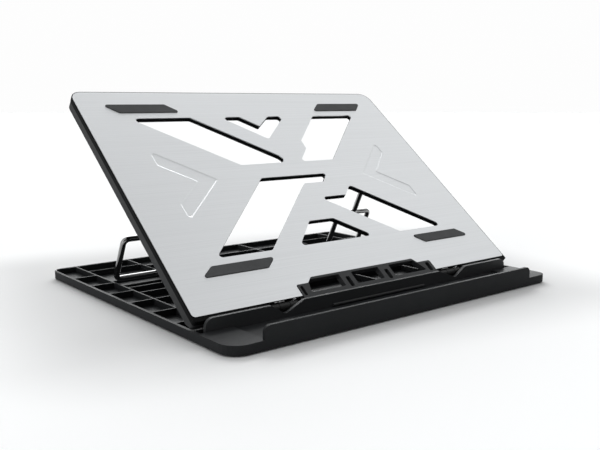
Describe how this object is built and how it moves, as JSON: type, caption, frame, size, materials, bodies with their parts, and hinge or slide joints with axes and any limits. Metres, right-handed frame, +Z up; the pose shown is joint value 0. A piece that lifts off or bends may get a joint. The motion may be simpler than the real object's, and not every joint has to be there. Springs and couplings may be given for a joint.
{
  "type": "laptop cooling pad",
  "caption": "Passive laptop stand: slotted brushed aluminium plate with grip pads, hinged on a ribbed black base and propped by chrome wire stands.",
  "frame": {"origin": "bottom centre of the object's box, on the table under the base", "axes": "+X right, +Y to the rear, +Z up; the front lip faces -Y"},
  "size_m": [0.37, 0.32, 0.1826],
  "materials": {
    "black_plastic": "fine-textured moulded black plastic",
    "grey_plastic": "moulded dark grey plastic",
    "satin_plastic": "smooth satin black plastic",
    "aluminium": "brushed across the width, clear anodised",
    "rubber": "matt rubber",
    "chrome": "bright chrome-plated wire",
    "steel": "zinc-plated steel",
    "black_steel": "black-coated steel"
  },
  "bodies": {
    "base": {"base_tray": "black_plastic", "hinge_cover": "satin_plastic", "foot_front_left": "rubber", "foot_front_right": "rubber", "foot_middle_left": "rubber", "foot_middle_right": "rubber", "foot_rear_left": "rubber", "foot_rear_right": "rubber", "cover_screw_left": "steel", "cover_screw_centre": "steel", "cover_screw_right": "steel", "hinge_base_leaf_left": "black_steel", "hinge_pin_left": "steel", "base_leaf_screw_left_outer": "steel", "base_leaf_screw_left_inner": "steel", "hinge_base_leaf_right": "black_steel", "hinge_pin_right": "steel", "base_leaf_screw_right_outer": "steel", "base_leaf_screw_right_inner": "steel"},
    "plate": {"plate_skin": "aluminium", "plate_frame": "black_plastic", "plate_back": "grey_plastic", "vent_insert": "satin_plastic", "pad_rear_left": "rubber", "pad_rear_right": "rubber", "pad_front_left": "rubber", "pad_front_right": "rubber", "back_screw_rear_left": "steel", "back_screw_rear_centre": "steel", "back_screw_rear_right": "steel", "back_screw_mid_left": "steel", "back_screw_mid_right": "steel", "back_screw_front_left": "steel", "back_screw_front_right": "steel", "hinge_plate_leaf_left": "black_steel", "plate_leaf_screw_left_outer": "steel", "stand_clip_left_outer": "satin_plastic", "clip_screw_left_outer": "steel", "plate_leaf_screw_left_inner": "steel", "stand_clip_left_inner": "satin_plastic", "clip_screw_left_inner": "steel", "hinge_plate_leaf_right": "black_steel", "plate_leaf_screw_right_outer": "steel", "stand_clip_right_outer": "satin_plastic", "clip_screw_right_outer": "steel", "plate_leaf_screw_right_inner": "steel", "stand_clip_right_inner": "satin_plastic", "clip_screw_right_inner": "steel"},
    "stand_left": {"stand_left": "chrome"},
    "stand_right": {"stand_right": "chrome"}
  },
  "joints": [
    {"name": "plate_hinge", "type": "hinge", "parent": "base", "child": "plate", "pos_m": [0, -0.108, 0.0122], "axis": [1, 0, 0], "range_deg": [-16, 23.5]},
    {"name": "stand_left_pivot", "type": "hinge", "parent": "plate", "child": "stand_left", "pos_m": [-0.131, 0.02826, 0.11194], "axis": [1, 0, 0], "range_deg": [-78, 53]},
    {"name": "stand_right_pivot", "type": "hinge", "parent": "plate", "child": "stand_right", "pos_m": [0.131, 0.02826, 0.11194], "axis": [1, 0, 0], "range_deg": [-78, 53]}
  ],
  "couplings": [
    {"joint": "stand_left_pivot", "follows": "plate_hinge", "ratio": -3.3},
    {"joint": "stand_right_pivot", "follows": "plate_hinge", "ratio": -3.3}
  ]
}
